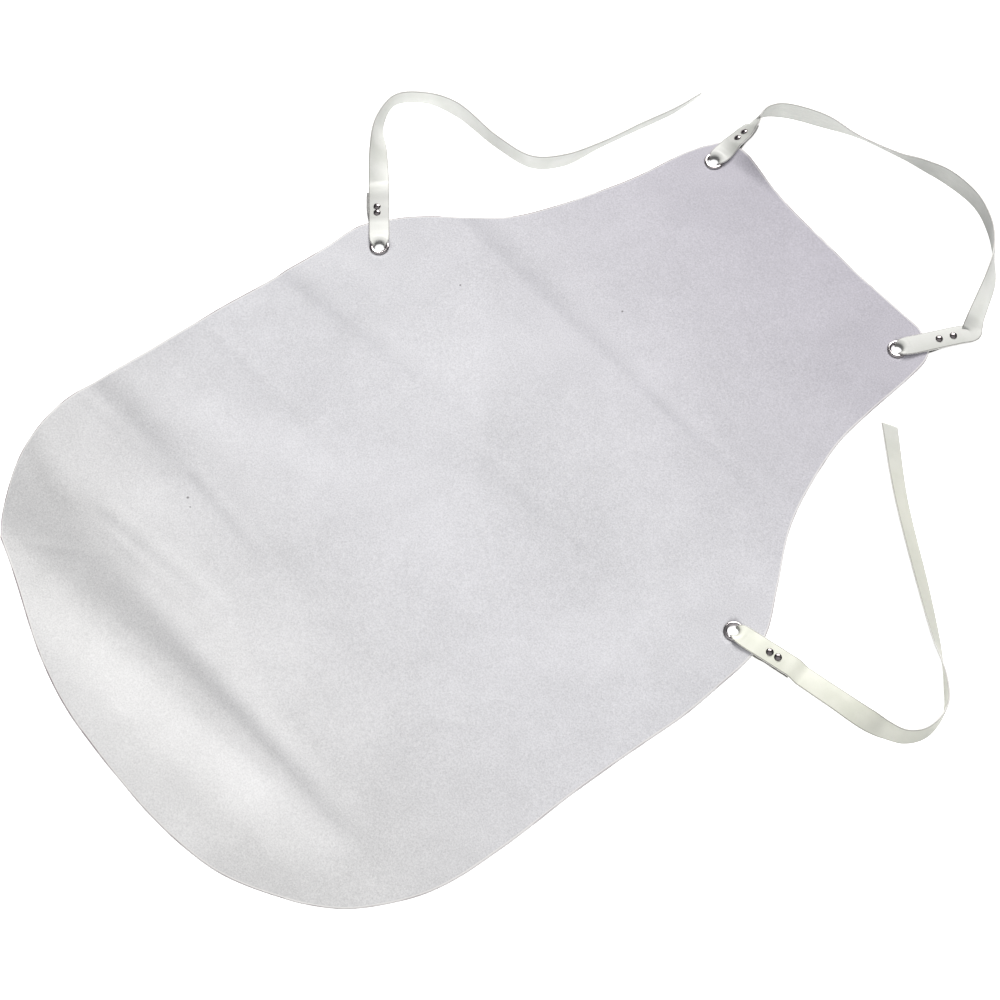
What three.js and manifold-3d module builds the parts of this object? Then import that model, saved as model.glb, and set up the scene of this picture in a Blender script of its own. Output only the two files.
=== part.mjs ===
// A one-piece leather welding apron lying face up: the panel, its neck strap and two waist ties.
// Millimetres. X runs across the apron, Y from hem to bib, Z up from the surface it lies on.
import * as THREE from "three";
import { mergeVertices } from "three/addons/utils/BufferGeometryUtils.js";
import Module from "manifold-3d";

const wasm = await Module();
wasm.setup();

// Driving dimensions
const LEATHER = 1.5; // panel thickness
const STRAP_WIDE = 21;
const STRAP_THICK = 1.6;
const NECK_WIDE = 9; // the strap is cut to this width where it passes through an eyelet
const GAP = 0.3; // between pieces that touch
const FLOOR_GAP = 0.3; // under a strap below an eyelet
const PANEL_STEP = 24; // length of a facet along the panel
const PANEL_COLUMNS = 22;
const STRAP_STEP = 16; // length of a facet along a free strap
const STRAP_COLUMNS = 4;
const EYELET_SIDES = 18;
const RIVET_SIDES = 10;

// The panel's outline, a row for each section across it from bib to hem: where the section meets the
// side edge (side), how far that edge is from the section's middle (half), where the section crosses the
// centre line (mid), and how far the leather is pulled sideways there (lean)
const SECTIONS = [
  { side: 452, half: 136, mid: 448, lean: 0 },
  { side: 445, half: 159, mid: 438, lean: 0 },
  { side: 433.5, half: 166.5, mid: 430, lean: 2 },
  { side: 405, half: 174, mid: 403, lean: 1 },
  { side: 346, half: 180.5, mid: 346, lean: -1 },
  { side: 298, half: 190, mid: 298, lean: -2.5 },
  { side: 249, half: 206, mid: 249, lean: -1 },
  { side: 201, half: 228, mid: 201, lean: 1 },
  { side: 153, half: 267, mid: 153, lean: 0 },
  { side: 112, half: 296, mid: 112, lean: 3 },
  { side: 81, half: 308, mid: 81, lean: 1.5 },
  { side: 40, half: 310, mid: 40, lean: 4 },
  { side: -20, half: 312, mid: -20, lean: 3.5 },
  { side: -100, half: 313, mid: -100, lean: 0 },
  { side: -215, half: 314.5, mid: -215, lean: 0 },
  { side: -262, half: 314.2, mid: -268, lean: -1.7 },
  { side: -305, half: 303.2, mid: -320, lean: -0.2 },
  { side: -353, half: 277.5, mid: -377, lean: 0.7 },
  { side: -385, half: 248, mid: -417, lean: -0.2 },
  { side: -402, half: 225, mid: -450, lean: 0 },
];
const SECTION_BOW = 2.2; // how late a section bends towards its side point
const HEM_SKEW = { most: 7, from: 300, to: 450 }; // the hem is pulled in on the left, let out on the right

// Packing folds, ridges that cross the panel: the crest runs from (fromX, fromY) to (toX, toY), rises by
// startRise and endRise at those ends, and falls away over a flank on the bib side and one on the hem side,
// of which the share called taper is left at the far end. The crease of the main fold is the valley between
// the first two.
const FOLDS = [
  { fromX: -320, fromY: -336, toX: 190, toY: -310, startRise: 12, endRise: 1.4, bib: 120, hem: 72, taper: 0.2 },
  { fromX: -320, fromY: -480, toX: 190, toY: -386, startRise: 9, endRise: 3.5, bib: 72, hem: 140, taper: 0.85 },
  { fromX: -330, fromY: -217, toX: -60, toY: -200, startRise: 3.2, endRise: 0.5, bib: 60, hem: 28, taper: 1 },
  { fromX: -320, fromY: -4, toX: -120, toY: 30, startRise: 2.4, endRise: 0.4, bib: 60, hem: 28, taper: 1 },
  { fromX: -260, fromY: 188, toX: 60, toY: 198, startRise: 3, endRise: 0.6, bib: 60, hem: 24, taper: 0.6 },
];
const FOLD_TAPERED = 0.9; // share of a fold's length over which its flanks narrow
const FOLD_FADE = 60; // length over which a fold dies out past its ends

// Eyelet section, radius and height above the leather's middle
const EYELET = { hole: 6.2, barrel: 7.1, rim: 10.2, back: 9.4, crest: 2.2, foot: -1.9 };
const EYELET_CUT = 7.5; // radius of the hole punched in the leather

// Rivet: domed front head, post and flat back head
const RIVET = { head: 3.8, dome: 1.7, post: 1.4, back: 3.2, backThick: 0.55 };
const RIVET_CUT = 1.7; // radius of the hole punched in the strap
const RIVET_SEAT = 0.5; // between a rivet head and the strap, which may bend under it
const PUNCH_LONG = 40;

// Where each strap is looped: eyelet centre, direction in which the strap leaves it, distances from it at
// which the strap clears the panel's edge, has its two rivets and its short piece ends, how far the doubled
// strap is rolled about its own line at the outer rivet, in degrees, and how far aside the rivets sit
const LOOPS = {
  bib_left: { x: -145, y: 421.5, heading: 98, edge: 30, inner: 37, outer: 47.5, end: 61, roll: -25, aside: 0 },
  bib_right: { x: 143, y: 417, heading: 67.3, edge: 33, inner: 44, outer: 59, end: 78, roll: 0, aside: 0 },
  waist_left: { x: -272.5, y: 82, heading: 144, edge: 35, inner: 41, outer: 49, end: 69, roll: 0, aside: 2 },
  waist_right: { x: 279.5, y: 87, heading: 17.7, edge: 32, inner: 39, outer: 48, end: 65, roll: 0, aside: 0 },
};
const EDGE_ROLL = 0.68; // share of the roll that is reached at the panel's edge
const END_ROLL = 1.9; // and at the end of the short piece

// Height of the leather's middle at an eyelet: it lies on the strap's back layer and the eyelet's foot
const EYELET_HEIGHT = FLOOR_GAP + STRAP_THICK + GAP - EYELET.foot;
const LIFT = { height: EYELET_HEIGHT - LEATHER / 2, run: 30, plateau: 30, fall: 70, tiltWide: 26 };

// The strap's turn round the eyelet's wall, from under the leather to its front: distance from the
// eyelet's axis (reach), height above the leather's middle (rise), width, and curl across it in degrees
const TURN = [
  { reach: 11, rise: -3.05, width: 18, curl: 0 },
  { reach: 8, rise: -3.05, width: 13, curl: 0 },
  { reach: 6.3, rise: -2.9, width: 10, curl: 20 },
  { reach: 5.35, rise: -2.2, width: 9, curl: 70 },
  { reach: 5, rise: -1.2, width: NECK_WIDE, curl: 103 },
  { reach: 5, rise: 1.2, width: NECK_WIDE, curl: 103 },
  { reach: 5.35, rise: 2.4, width: 9.5, curl: 80 },
  { reach: 6.3, rise: 3.15, width: 11, curl: 30 },
  { reach: 8, rise: 3.4, width: 15, curl: 0 },
  { reach: 11, rise: 3.3, width: 19.5, curl: 0 },
];

// The two layers of a looped strap beyond the eyelet, each row past a named distance of the loop: height
// of the middle between the layers, and how far each layer's middle is from it
const LAYERS = [
  { from: "edge", past: -15, middle: 3.95, spread: 2.7 },
  { from: "edge", past: -8, middle: 3.95, spread: 2.6 },
  { from: "edge", past: 0, middle: 4.05, spread: 2.1 },
  { from: "inner", past: -3.6, middle: 4.5, spread: 1 },
  { from: "outer", past: 0, middle: 4.3, spread: 0.95 },
  { from: "outer", past: 6, middle: 3.9, spread: 0.95 },
  { from: "end", past: 0, middle: 3.1, spread: 0.95 },
];

// Free stretches of the straps, a row for each bend: the strap's middle in plan, and its bank in degrees:
// 0 lies flat, 90 stands on the right edge, -90 on the left edge, seen along the strap from its first eyelet
const LEFT_TIE = [
  { x: -340, y: 131, bank: 2 },
  { x: -371, y: 153, bank: 32 },
  { x: -396, y: 173, bank: 72 },
  { x: -410, y: 204, bank: 96 },
  { x: -393, y: 231, bank: 96 },
  { x: -361, y: 248, bank: 82 },
  { x: -300, y: 256, bank: 89 },
  { x: -258, y: 269, bank: 90 },
  { x: -239, y: 297.5, bank: 93 },
  { x: -231.5, y: 340, bank: 110 },
  { x: -225, y: 387, bank: 109 },
  { x: -219, y: 427, bank: 110 },
  { x: -218, y: 461, bank: 114 },
];
const RIGHT_TIE = [
  { x: 352, y: 109, bank: 0 },
  { x: 392, y: 119, bank: 6 },
  { x: 420, y: 125, bank: 25 },
  { x: 441, y: 131, bank: 60 },
  { x: 457, y: 140, bank: 75 },
  { x: 466, y: 158, bank: 84 },
  { x: 460, y: 187, bank: 92 },
  { x: 439, y: 206.5, bank: 88 },
  { x: 404, y: 227.5, bank: 60 },
  { x: 349, y: 259.5, bank: 46 },
  { x: 271, y: 304.5, bank: 43 },
  { x: 203.5, y: 351, bank: 34 },
];
const NECK_STRAP = [
  { x: -157, y: 487, bank: -60 },
  { x: -158, y: 504, bank: -82 },
  { x: -148.5, y: 519.5, bank: -98 },
  { x: -114, y: 543, bank: -95 },
  { x: -74.5, y: 560, bank: -60 },
  { x: -30, y: 577.5, bank: -64 },
  { x: -5, y: 588.5, bank: -85 },
  { x: 23, y: 598, bank: -100 },
  { x: 62.5, y: 600, bank: -95 },
  { x: 95, y: 588, bank: -92 },
  { x: 119, y: 570, bank: -82 },
  { x: 139, y: 547, bank: -55 },
  { x: 153, y: 523, bank: -44 },
  { x: 163.5, y: 504, bank: -35 },
  { x: 169, y: 495.5, bank: -20 },
];

const LEATHER_LOOK = { color: 0xd8d5da, roughness: 0.8, metalness: 0 };
const STRAP_LOOK = { color: 0xf0f1e8, roughness: 0.65, metalness: 0 };
const NICKEL_LOOK = { color: 0xc8c8c6, roughness: 0.25, metalness: 1 };

const UP = new THREE.Vector3(0, 0, 1);
const { smoothstep, lerp, degToRad, clamp } = THREE.MathUtils;

// Solid geometry helpers
function bare(geometry) {
  geometry.deleteAttribute("normal");
  geometry.deleteAttribute("uv");
  return mergeVertices(geometry, 1e-3);
}

function solid(geometry) {
  const closed = bare(geometry.clone());
  return new wasm.Manifold(
    new wasm.Mesh({
      numProp: 3,
      vertProperties: new Float32Array(closed.attributes.position.array),
      triVerts: new Uint32Array(closed.index.array),
    }),
  );
}

function cut(geometry, tools) {
  let left = solid(geometry);
  for (const tool of tools) left = left.subtract(solid(tool));
  const mesh = left.getMesh();
  return new THREE.BufferGeometry()
    .setAttribute("position", new THREE.BufferAttribute(mesh.vertProperties, 3))
    .setIndex(new THREE.BufferAttribute(mesh.triVerts, 1));
}

// A closed wall: a box whose every vertex is moved by shape(along, across, through), each from 0 to 1
function wall(along, across, shape) {
  const box = new THREE.BoxGeometry(1, 1, 1, along, across, 1);
  const place = box.attributes.position;
  for (let i = 0; i < place.count; i++) {
    const at = shape(place.getX(i) + 0.5, place.getY(i) + 0.5, place.getZ(i) + 0.5);
    place.setXYZ(i, at.x, at.y, at.z);
  }
  return bare(box);
}

// A punch along an axis through a point
function punch(radius, sides, at, axis) {
  const tool = new THREE.CylinderGeometry(radius, radius, PUNCH_LONG, sides);
  tool.applyQuaternion(new THREE.Quaternion().setFromUnitVectors(new THREE.Vector3(0, 1, 0), axis));
  return tool.translate(at.x, at.y, at.z);
}

// A turned piece from a closed profile of [radius, height] pairs, standing along an axis at a point
function turned(profile, sides, at, axis) {
  const lathe = new THREE.LatheGeometry(
    profile.map(([radius, height]) => new THREE.Vector2(radius, height)),
    sides,
  );
  lathe.applyQuaternion(new THREE.Quaternion().setFromUnitVectors(new THREE.Vector3(0, 1, 0), axis));
  return bare(lathe.translate(at.x, at.y, at.z));
}

// Loop frames
function loopFrame(loop) {
  const turn = degToRad(loop.heading);
  const out = new THREE.Vector3(Math.cos(turn), Math.sin(turn), 0);
  const left = new THREE.Vector3().crossVectors(UP, out);
  return { out, left, eyelet: new THREE.Vector3(loop.x, loop.y, 0) };
}

// How far the looped strap is rolled about its own line, in radians, at a distance from the eyelet
function rollAt(loop, reach) {
  const toEdge = clamp((reach - EYELET.rim) / (loop.edge - EYELET.rim), 0, 1);
  const toOuter = clamp((reach - loop.edge) / (loop.outer - loop.edge), 0, 1);
  const clear = loop.outer + RIVET.head;
  const toEnd = clamp((reach - clear) / (loop.end - clear), 0, 1);
  const share = EDGE_ROLL * toEdge ** 1.5 + (1 - EDGE_ROLL) * toOuter + (END_ROLL - 1) * toEnd;
  return degToRad(loop.roll) * share;
}

// The doubled strap at a distance from the eyelet: its middle point, across and normal directions, spread
function stackAt(loop, reach) {
  const { out, left, eyelet } = loopFrame(loop);
  const roll = rollAt(loop, reach);
  const rows = LAYERS.map((row) => ({ ...row, reach: loop[row.from] + row.past }));
  const next = rows.slice(1, -1).findIndex((row) => row.reach >= reach) + 1 || rows.length - 1;
  const a = rows[next - 1];
  const b = rows[next];
  const part = clamp((reach - a.reach) / (b.reach - a.reach), 0, 1);
  const height = lerp(a.middle, b.middle, part) + (STRAP_WIDE / 2) * Math.abs(Math.sin(roll));
  const middle = eyelet.clone().addScaledVector(out, reach).addScaledVector(UP, height);
  const across = left.clone().multiplyScalar(Math.cos(roll)).addScaledVector(UP, Math.sin(roll));
  const normal = new THREE.Vector3().crossVectors(out, across);
  return { middle, across, normal, spread: lerp(a.spread, b.spread, part) };
}

// Where a rivet's axis crosses the middle of the doubled strap
function rivetAt(loop, reach) {
  const { middle, across, normal, spread } = stackAt(loop, reach);
  return { at: middle.addScaledVector(across, loop.aside), normal, spread };
}

// Rows of a strap round one eyelet, from the tip of its short back end to its front layer
function loopRows(loop) {
  const { out, left, eyelet } = loopFrame(loop);
  const reaches = LAYERS.map((row) => loop[row.from] + row.past);
  const layer = (reach, side) => {
    const stack = stackAt(loop, reach);
    const at = stack.middle.addScaledVector(stack.normal, side * stack.spread);
    return { at, across: stack.across, width: STRAP_WIDE, curl: 0 };
  };
  const turn = TURN.map(({ reach, rise, width, curl }) => ({
    at: eyelet.clone().addScaledVector(out, reach).addScaledVector(UP, EYELET_HEIGHT + rise),
    across: left.clone(),
    width,
    curl: degToRad(curl),
  }));
  const back = reaches.toReversed().map((reach) => layer(reach, -1));
  const front = reaches.map((reach) => layer(reach, 1));
  return [...back, ...turn, ...front];
}

// Rows of a free stretch, standing or lying on the floor as it is banked
function freeRows(table) {
  const plan = new THREE.CatmullRomCurve3(table.map(({ x, y }) => new THREE.Vector3(x, y, 0)));
  return table.map(({ x, y, bank }, i) => {
    const along = plan.getTangent(i / (table.length - 1));
    const turn = degToRad(bank);
    const left = new THREE.Vector3().crossVectors(UP, along).normalize();
    const across = left.multiplyScalar(Math.cos(turn)).addScaledVector(UP, Math.sin(turn));
    const height = (STRAP_WIDE * Math.abs(Math.sin(turn)) + STRAP_THICK * Math.abs(Math.cos(turn))) / 2;
    return { at: new THREE.Vector3(x, y, height), across, width: STRAP_WIDE, curl: 0, free: true };
  });
}

// A strap through its rows: a smooth path, with the across direction, width and curl eased between rows
function strapGeometry(rows) {
  const path = new THREE.CatmullRomCurve3(rows.map((row) => row.at));
  const lean = new THREE.CatmullRomCurve3(rows.map((row) => row.across), false, "catmullrom");
  const stations = [];
  for (let i = 0; i < rows.length - 1; i++) {
    const span = rows[i].at.distanceTo(rows[i + 1].at);
    const steps = Math.max(1, Math.round(span / STRAP_STEP));
    for (let k = 0; k < steps; k++) stations.push(i + k / steps);
  }
  stations.push(rows.length - 1);
  const frames = stations.map((station) => {
    const share = station / (rows.length - 1);
    const i = Math.min(Math.floor(station), rows.length - 2);
    const part = station - i;
    const along = path.getTangent(share);
    const across = lean.getPoint(share);
    across.addScaledVector(along, -across.dot(along)).normalize();
    const normal = new THREE.Vector3().crossVectors(along, across);
    const at = path.getPoint(share);
    const rest = (STRAP_WIDE * Math.abs(across.z) + STRAP_THICK * Math.abs(normal.z)) / 2;
    if (rows[i].free && rows[i + 1].free) at.z = rest;
    else if (rows[i].free || rows[i + 1].free) at.z = Math.max(at.z, rest);
    return {
      at,
      across,
      normal,
      width: lerp(rows[i].width, rows[i + 1].width, part),
      curl: lerp(rows[i].curl, rows[i + 1].curl, part),
    };
  });
  return wall(frames.length - 1, STRAP_COLUMNS, (along, side, through) => {
    const { at, across, normal, width, curl } = frames[Math.round(along * (frames.length - 1))];
    const angle = (side - 0.5) * curl;
    const radius = curl > 0 ? width / curl : 0;
    const sideways = curl > 0 ? radius * Math.sin(angle) : (side - 0.5) * width;
    const inward = curl > 0 ? radius * (1 - Math.cos(angle)) : 0;
    const out = (through - 0.5) * STRAP_THICK;
    return at
      .clone()
      .addScaledVector(across, sideways - out * Math.sin(angle))
      .addScaledVector(normal, inward + out * Math.cos(angle));
  });
}

// Panel
const bump = (share) => 1 - smoothstep(share, 0, 1);

function foldRise(x, y, fold) {
  const along = (x - fold.fromX) / (fold.toX - fold.fromX);
  const crest = lerp(fold.fromY, fold.toY, along);
  const past = Math.max(fold.fromX - x, x - fold.toX, 0);
  const rise = lerp(fold.startRise, fold.endRise, clamp(along, 0, 1)) * bump(past / FOLD_FADE);
  const kept = lerp(1, fold.taper, smoothstep(along, 0, FOLD_TAPERED));
  const flank = (y > crest ? fold.bib : fold.hem) * kept;
  return rise * bump(Math.abs(y - crest) / flank);
}

function loopLift(x, y, loop) {
  const { out, left, eyelet } = loopFrame(loop);
  const from = new THREE.Vector3(x, y, 0).sub(eyelet);
  const along = clamp(from.dot(out), 0, LIFT.run);
  const aside = clamp(from.dot(left), -LIFT.tiltWide, LIFT.tiltWide);
  const roll = rollAt(loop, along);
  const tilt = (STRAP_WIDE / 2) * Math.abs(Math.sin(roll)) + aside * Math.tan(roll);
  const away = from.addScaledVector(out, -along).length();
  return Math.max(LIFT.height + tilt, 0) * bump((away - LIFT.plateau) / LIFT.fall);
}

function undersideAt(x, y) {
  const folds = FOLDS.reduce((sum, fold) => sum + foldRise(x, y, fold), 0);
  const lifts = Object.values(LOOPS).map((loop) => loopLift(x, y, loop));
  return folds + Math.max(...lifts);
}

function panelGeometry() {
  const rows = SECTIONS.map(({ side, half, mid }) => new THREE.Vector3(side, half, mid));
  const outline = new THREE.CatmullRomCurve3(rows);
  const pull = new THREE.CatmullRomCurve3(
    SECTIONS.map(({ lean }, i) => new THREE.Vector3(lean, i, 0)),
    false,
    "catmullrom",
  );
  const stations = [];
  rows.slice(1).forEach((row, i) => {
    const steps = Math.max(1, Math.round(Math.abs(row.z - rows[i].z) / PANEL_STEP));
    for (let k = 0; k < steps; k++) stations.push(i + k / steps);
  });
  stations.push(rows.length - 1);
  const sections = stations.map((station) => {
    const at = station / (rows.length - 1);
    const { x: side, y: half, z: mid } = outline.getPoint(at);
    const skew = HEM_SKEW.most * smoothstep(-mid, HEM_SKEW.from, HEM_SKEW.to);
    return { side, half, mid, skew, lean: pull.getPoint(at).x };
  });
  return wall(PANEL_COLUMNS, sections.length - 1, (across, along, through) => {
    const { side, half, mid, skew, lean } = sections[Math.round((1 - along) * (sections.length - 1))];
    const share = 2 * across - 1;
    const x = lean + share * half;
    const bow = Math.abs(share) ** SECTION_BOW;
    const y = lerp(mid, side, bow) - skew * Math.sin(Math.PI * bow) * Math.sign(share);
    return new THREE.Vector3(x, y, undersideAt(x, y) + through * LEATHER);
  });
}

// Hardware
function eyeletGeometry(loop) {
  const { hole, barrel, rim, back, crest, foot } = EYELET;
  const over = LEATHER / 2 + GAP;
  const profile = [
    [hole, -1.1],
    [hole, 1.1],
    [hole + 0.25, 1.6],
    [hole + 0.75, crest - 0.2],
    [hole + 1.5, crest],
    [rim - 0.7, crest - 0.2],
    [rim, over + 0.2],
    [rim - 0.1, over],
    [barrel, over],
    [barrel, -over],
    [back, -over],
    [back - 0.7, foot + 0.05],
    [hole + 0.8, foot],
    [hole + 0.2, foot + 0.3],
    [hole, -1.1],
  ];
  return turned(profile.toReversed(), EYELET_SIDES, new THREE.Vector3(loop.x, loop.y, EYELET_HEIGHT), UP);
}

function rivetGeometry(loop, reach) {
  const { at, normal, spread } = rivetAt(loop, reach);
  const { head, dome, post, back, backThick } = RIVET;
  const over = spread + STRAP_THICK / 2 + RIVET_SEAT;
  const profile = [
    [0, -over - backThick],
    [back - 0.4, -over - backThick],
    [back, -over],
    [post, -over],
    [post, over],
    [head, over],
    [head - 0.1, over + 0.35 * dome],
    [head * 0.78, over + 0.75 * dome],
    [head * 0.42, over + 0.96 * dome],
    [0, over + dome],
  ];
  return turned(profile, RIVET_SIDES, at, normal);
}

const group = new THREE.Group();

function add(name, geometry, look) {
  const mesh = new THREE.Mesh(geometry, new THREE.MeshStandardMaterial(look));
  mesh.name = name;
  group.add(mesh);
}

function addStrap(name, rows, ends) {
  const punches = ends.flatMap((end) =>
    [end.inner, end.outer].map((reach) => {
      const { at, normal } = rivetAt(end, reach);
      return punch(RIVET_CUT, RIVET_SIDES, at, normal);
    }),
  );
  add(name, cut(strapGeometry(rows), punches), STRAP_LOOK);
}

const eyeletCuts = Object.values(LOOPS).map((loop) =>
  punch(EYELET_CUT, EYELET_SIDES, new THREE.Vector3(loop.x, loop.y, 0), UP),
);
add("apron_body", cut(panelGeometry(), eyeletCuts), LEATHER_LOOK);

const { bib_left, bib_right, waist_left, waist_right } = LOOPS;
const turnRound = (rows) => rows.toReversed().map((row) => ({ ...row, across: row.across.clone().negate() }));
addStrap(
  "neck_strap",
  [...loopRows(bib_left), ...freeRows(NECK_STRAP), ...turnRound(loopRows(bib_right))],
  [bib_left, bib_right],
);
addStrap("left_waist_tie", [...loopRows(waist_left), ...freeRows(LEFT_TIE)], [waist_left]);
addStrap("right_waist_tie", [...loopRows(waist_right), ...freeRows(RIGHT_TIE)], [waist_right]);

for (const [name, loop] of Object.entries(LOOPS)) {
  add("eyelet_" + name, eyeletGeometry(loop), NICKEL_LOOK);
  add("rivet_" + name + "_inner", rivetGeometry(loop, loop.inner), NICKEL_LOOK);
  add("rivet_" + name + "_outer", rivetGeometry(loop, loop.outer), NICKEL_LOOK);
}

export default group;
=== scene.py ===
# Leather welding apron lying face up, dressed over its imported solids.
# Tables are in millimetres, as cut; meshes are in metres. X across, Y from hem to bib, Z up.
import math

import bpy
import numpy as np
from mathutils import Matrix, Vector, noise


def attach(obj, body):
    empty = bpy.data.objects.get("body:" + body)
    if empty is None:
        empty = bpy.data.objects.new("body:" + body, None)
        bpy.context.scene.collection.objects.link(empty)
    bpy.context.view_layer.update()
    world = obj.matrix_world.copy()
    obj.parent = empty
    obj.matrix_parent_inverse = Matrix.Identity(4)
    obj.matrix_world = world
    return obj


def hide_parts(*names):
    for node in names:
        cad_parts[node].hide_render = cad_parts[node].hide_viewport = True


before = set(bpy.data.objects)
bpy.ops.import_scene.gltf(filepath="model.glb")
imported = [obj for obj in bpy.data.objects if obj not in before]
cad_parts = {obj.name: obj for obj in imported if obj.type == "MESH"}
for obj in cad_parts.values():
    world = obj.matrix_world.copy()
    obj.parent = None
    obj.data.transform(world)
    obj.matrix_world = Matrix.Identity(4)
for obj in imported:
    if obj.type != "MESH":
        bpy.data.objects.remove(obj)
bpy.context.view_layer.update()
mm = 0.001
tiny = 1e-9  # what counts as nothing
up = np.array([0.0, 0.0, 1.0])
print("frame loaded:", len(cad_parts), "solids")


# numbers and curves
def ease(value, low=0.0, high=1.0):
    share = np.clip((value - low) / (high - low), 0, 1)
    return share * share * (3 - 2 * share)


def bump(share):
    return 1 - ease(share)


def unit(rows):
    return rows / np.linalg.norm(rows, axis=-1, keepdims=True)


def throughPoints(points, stations, even=False):
    # a smooth curve through the points; station 2.5 is halfway from point 2 to point 3
    pts = np.asarray(points, float)
    pts = np.vstack([2 * pts[0] - pts[1], pts, 2 * pts[-1] - pts[-2]])
    stations = np.asarray(stations, float)
    at = np.clip(np.floor(stations).astype(int), 0, len(pts) - 4)
    part = (stations - at)[:, None]
    a, b, c, d = (pts[at + k] for k in range(4))
    if even:
        start, end = (c - a) / 2, (d - b) / 2
    else:
        # spaced by the square root of each step, so that long and short steps make no loops
        steps = (((q - p) ** 2).sum(1) for p, q in ((a, b), (b, c), (c, d)))
        e, f, g = (np.maximum(step, tiny)[:, None] ** 0.25 for step in steps)
        start = ((b - a) / e - (c - a) / (e + f) + (c - b) / f) * f
        end = ((c - b) / f - (d - b) / (f + g) + (d - c) / g) * f
    curve = 3 * (c - b) - 2 * start - end
    twist = 2 * (b - c) + start + end
    return b + part * (start + part * (curve + part * twist))


def cloudAt(x, y, size, seed):
    # smooth noise from -1 to 1 over the points, with lumps about size mm across
    flat = zip(np.ravel(x) / size, np.ravel(y) / size)
    return np.array([noise.noise((p, q, seed)) for p, q in flat]).reshape(np.shape(x))


def makePiece(name, vertices, faces, finish):
    mesh = bpy.data.meshes.new(name)
    mesh.from_pydata((np.asarray(vertices) * mm).tolist(), [], faces)
    mesh.validate()
    mesh.polygons.foreach_set("use_smooth", [True] * len(mesh.polygons))
    mesh.materials.append(finish)
    piece = bpy.data.objects.new(name, mesh)
    bpy.context.scene.collection.objects.link(piece)
    return piece


def addNumber(piece, name, values):
    layer = piece.data.attributes.new(name, "FLOAT", "POINT")
    layer.data.foreach_set("value", np.asarray(values, np.float32).ravel())


# shader maths
class Wire:
    def __init__(self, tree, socket=None):
        self.tree, self.socket = tree, socket

    def add(self, kind, settings=None, values=None, out=0):
        node = self.tree.nodes.new(kind)
        for key, value in (settings or {}).items():
            setattr(node, key, value)
        for key, value in (values or {}).items():
            if isinstance(value, Wire):
                self.tree.links.new(value.socket, node.inputs[key])
            else:
                node.inputs[key].default_value = value
        return Wire(self.tree, node.outputs[out])

    def maths(self, operation, a, b):
        return self.add("ShaderNodeMath", {"operation": operation}, {0: a, 1: b})

    def __add__(self, other):
        return self.maths("ADD", self, other)

    def __sub__(self, other):
        return self.maths("SUBTRACT", self, other)

    def __rsub__(self, other):
        return self.maths("SUBTRACT", other, self)

    def __mul__(self, other):
        return self.maths("MULTIPLY", self, other)

    __radd__ = __add__
    __rmul__ = __mul__

    def within(self, low, high):
        values = {"Value": self, "From Min": low, "From Max": high}
        return self.add("ShaderNodeMapRange", {"interpolation_type": "SMOOTHSTEP"}, values)

    def mix(self, a, b):
        return self.add("ShaderNodeMix", {"data_type": "RGBA"}, {0: self, 6: a, 7: b}, 2)

    def scaled(self, by):
        return self.add("ShaderNodeVectorMath", {"operation": "SCALE"}, {0: self, "Scale": by})

    def cloud(self, scale, detail=2.0, roughness=0.5):
        values = {"Vector": self, "Scale": scale, "Detail": detail, "Roughness": roughness}
        return self.add("ShaderNodeTexNoise", None, values)

    def wave(self, *noiseForm):
        # a cloud about zero
        return self.cloud(*noiseForm) - 0.5

    def number(self, name):
        return self.add("ShaderNodeAttribute", {"attribute_name": name}, None, "Fac")


def tone(red, green, blue):
    # a colour as seen on screen, 0 to 255, to the shader's linear one
    parts = [c / 255 for c in (red, green, blue)]
    return tuple(p / 12.92 if p < 0.04045 else ((p + 0.055) / 1.055) ** 2.4 for p in parts) + (1.0,)


def newFinish(name, fixed):
    finish = bpy.data.materials.new(name)
    finish.use_nodes = True
    shader = finish.node_tree.nodes["Principled BSDF"]
    for key, value in fixed.items():
        shader.inputs[key].default_value = value
    return finish, shader, Wire(finish.node_tree)


def feed(shader, wires):
    for key, wire in wires.items():
        wire.tree.links.new(wire.socket, shader.inputs[key])


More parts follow.
